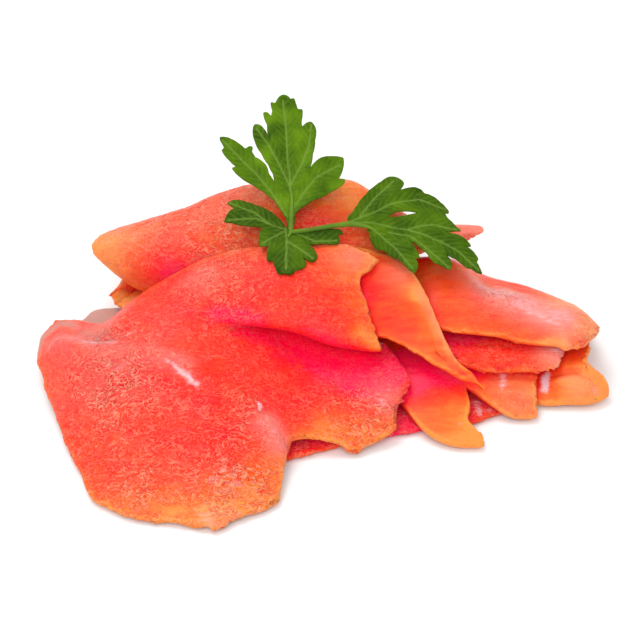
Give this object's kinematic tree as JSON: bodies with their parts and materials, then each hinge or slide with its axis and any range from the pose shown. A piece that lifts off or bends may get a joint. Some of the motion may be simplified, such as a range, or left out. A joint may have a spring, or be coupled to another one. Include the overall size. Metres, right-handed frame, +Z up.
{
  "type": "smoked salmon slices",
  "caption": "Loose pile of thin cold-smoked salmon slices, folded and draped over one another, with a sprig of flat-leaf parsley on top.",
  "frame": {"origin": "on the table, under the middle of the whole pile's box", "axes": "+Z up, +X to the viewer's right along the pile's length, -Y towards the viewer"},
  "size_m": [0.1758, 0.1394, 0.0638],
  "materials": {
    "salmon_flesh": "moist, slightly translucent fish, orange towards the thin cut edges",
    "parsley_leaf": "fresh leaf, satin"
  },
  "bodies": {
    "root": {"bottom_slice": "salmon_flesh", "left_slice": "salmon_flesh", "inner_slice": "salmon_flesh", "lower_slice": "salmon_flesh", "side_slice": "salmon_flesh", "mid_slice": "salmon_flesh", "right_slice": "salmon_flesh", "back_slice": "salmon_flesh", "curl_slice": "salmon_flesh", "front_slice": "salmon_flesh", "parsley_sprig": "parsley_leaf"}
  },
  "joints": []
}
